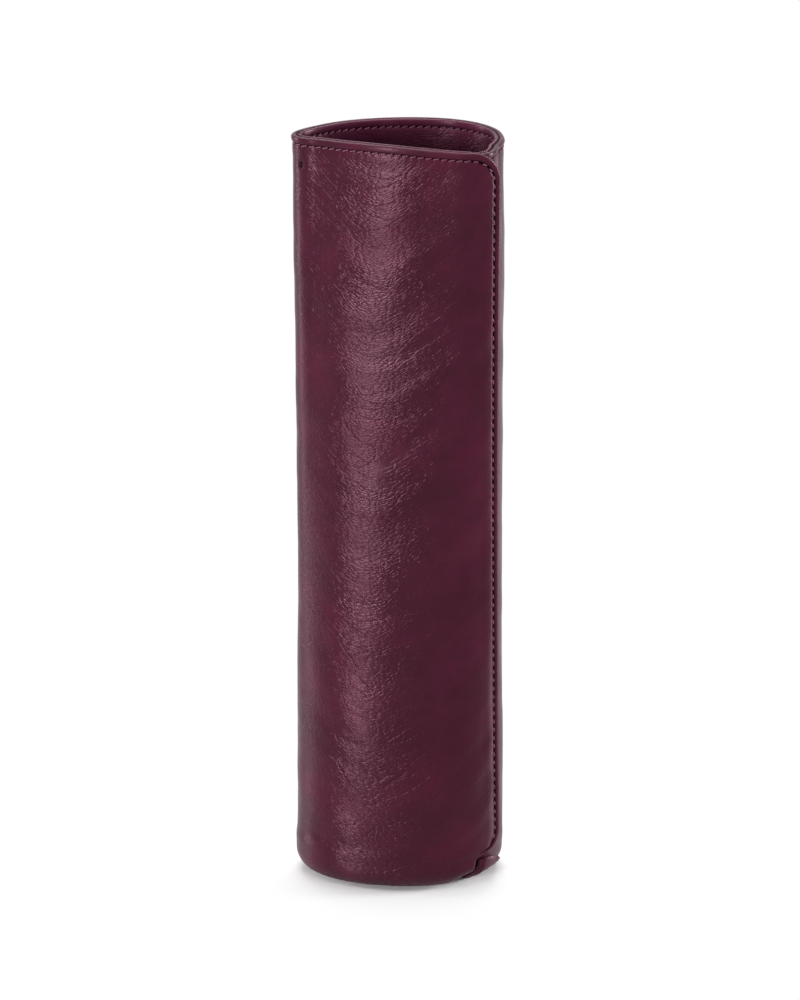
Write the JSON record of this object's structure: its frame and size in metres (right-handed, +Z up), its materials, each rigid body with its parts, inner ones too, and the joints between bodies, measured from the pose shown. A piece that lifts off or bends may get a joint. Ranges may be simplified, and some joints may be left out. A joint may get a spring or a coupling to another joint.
{
  "type": "umbrella sleeve",
  "caption": "Slim open-topped leather sleeve for a folded umbrella, lined, with a front panel lapped and stitched over the back and a soft boxed base.",
  "frame": {"origin": "centre of the whole sleeve's footprint, on the surface that its base stands on", "axes": "+Z up, out of the mouth; -Y the front, with the uninterrupted front panel; +X towards the lapped seam"},
  "size_m": [0.0732, 0.0518, 0.265],
  "materials": {
    "outer_leather": "smooth aniline calf, wine red, soft sheen, fine creases",
    "lining_leather": "smooth lining leather, wine red",
    "interlining_felt": "thin pressed felt",
    "edge_tape": "woven reinforcing tape",
    "stiffener_board": "pressed fibre board",
    "thread": "twisted polyester thread, wine red"
  },
  "bodies": {
    "root": {"outer_wrap": "outer_leather", "lining_wrap": "lining_leather", "interlining": "interlining_felt", "rim_tape": "edge_tape", "flap_facing": "lining_leather", "base_board": "stiffener_board", "rim_needle_thread": "thread", "rim_bobbin_thread": "thread", "flap_needle_thread": "thread", "lap_bobbin_thread": "thread", "slit_tack_thread": "thread", "fold_tack_thread": "thread", "base_seam_thread": "thread", "lining_seam_thread": "thread", "corner_tack_thread": "thread"}
  },
  "joints": []
}
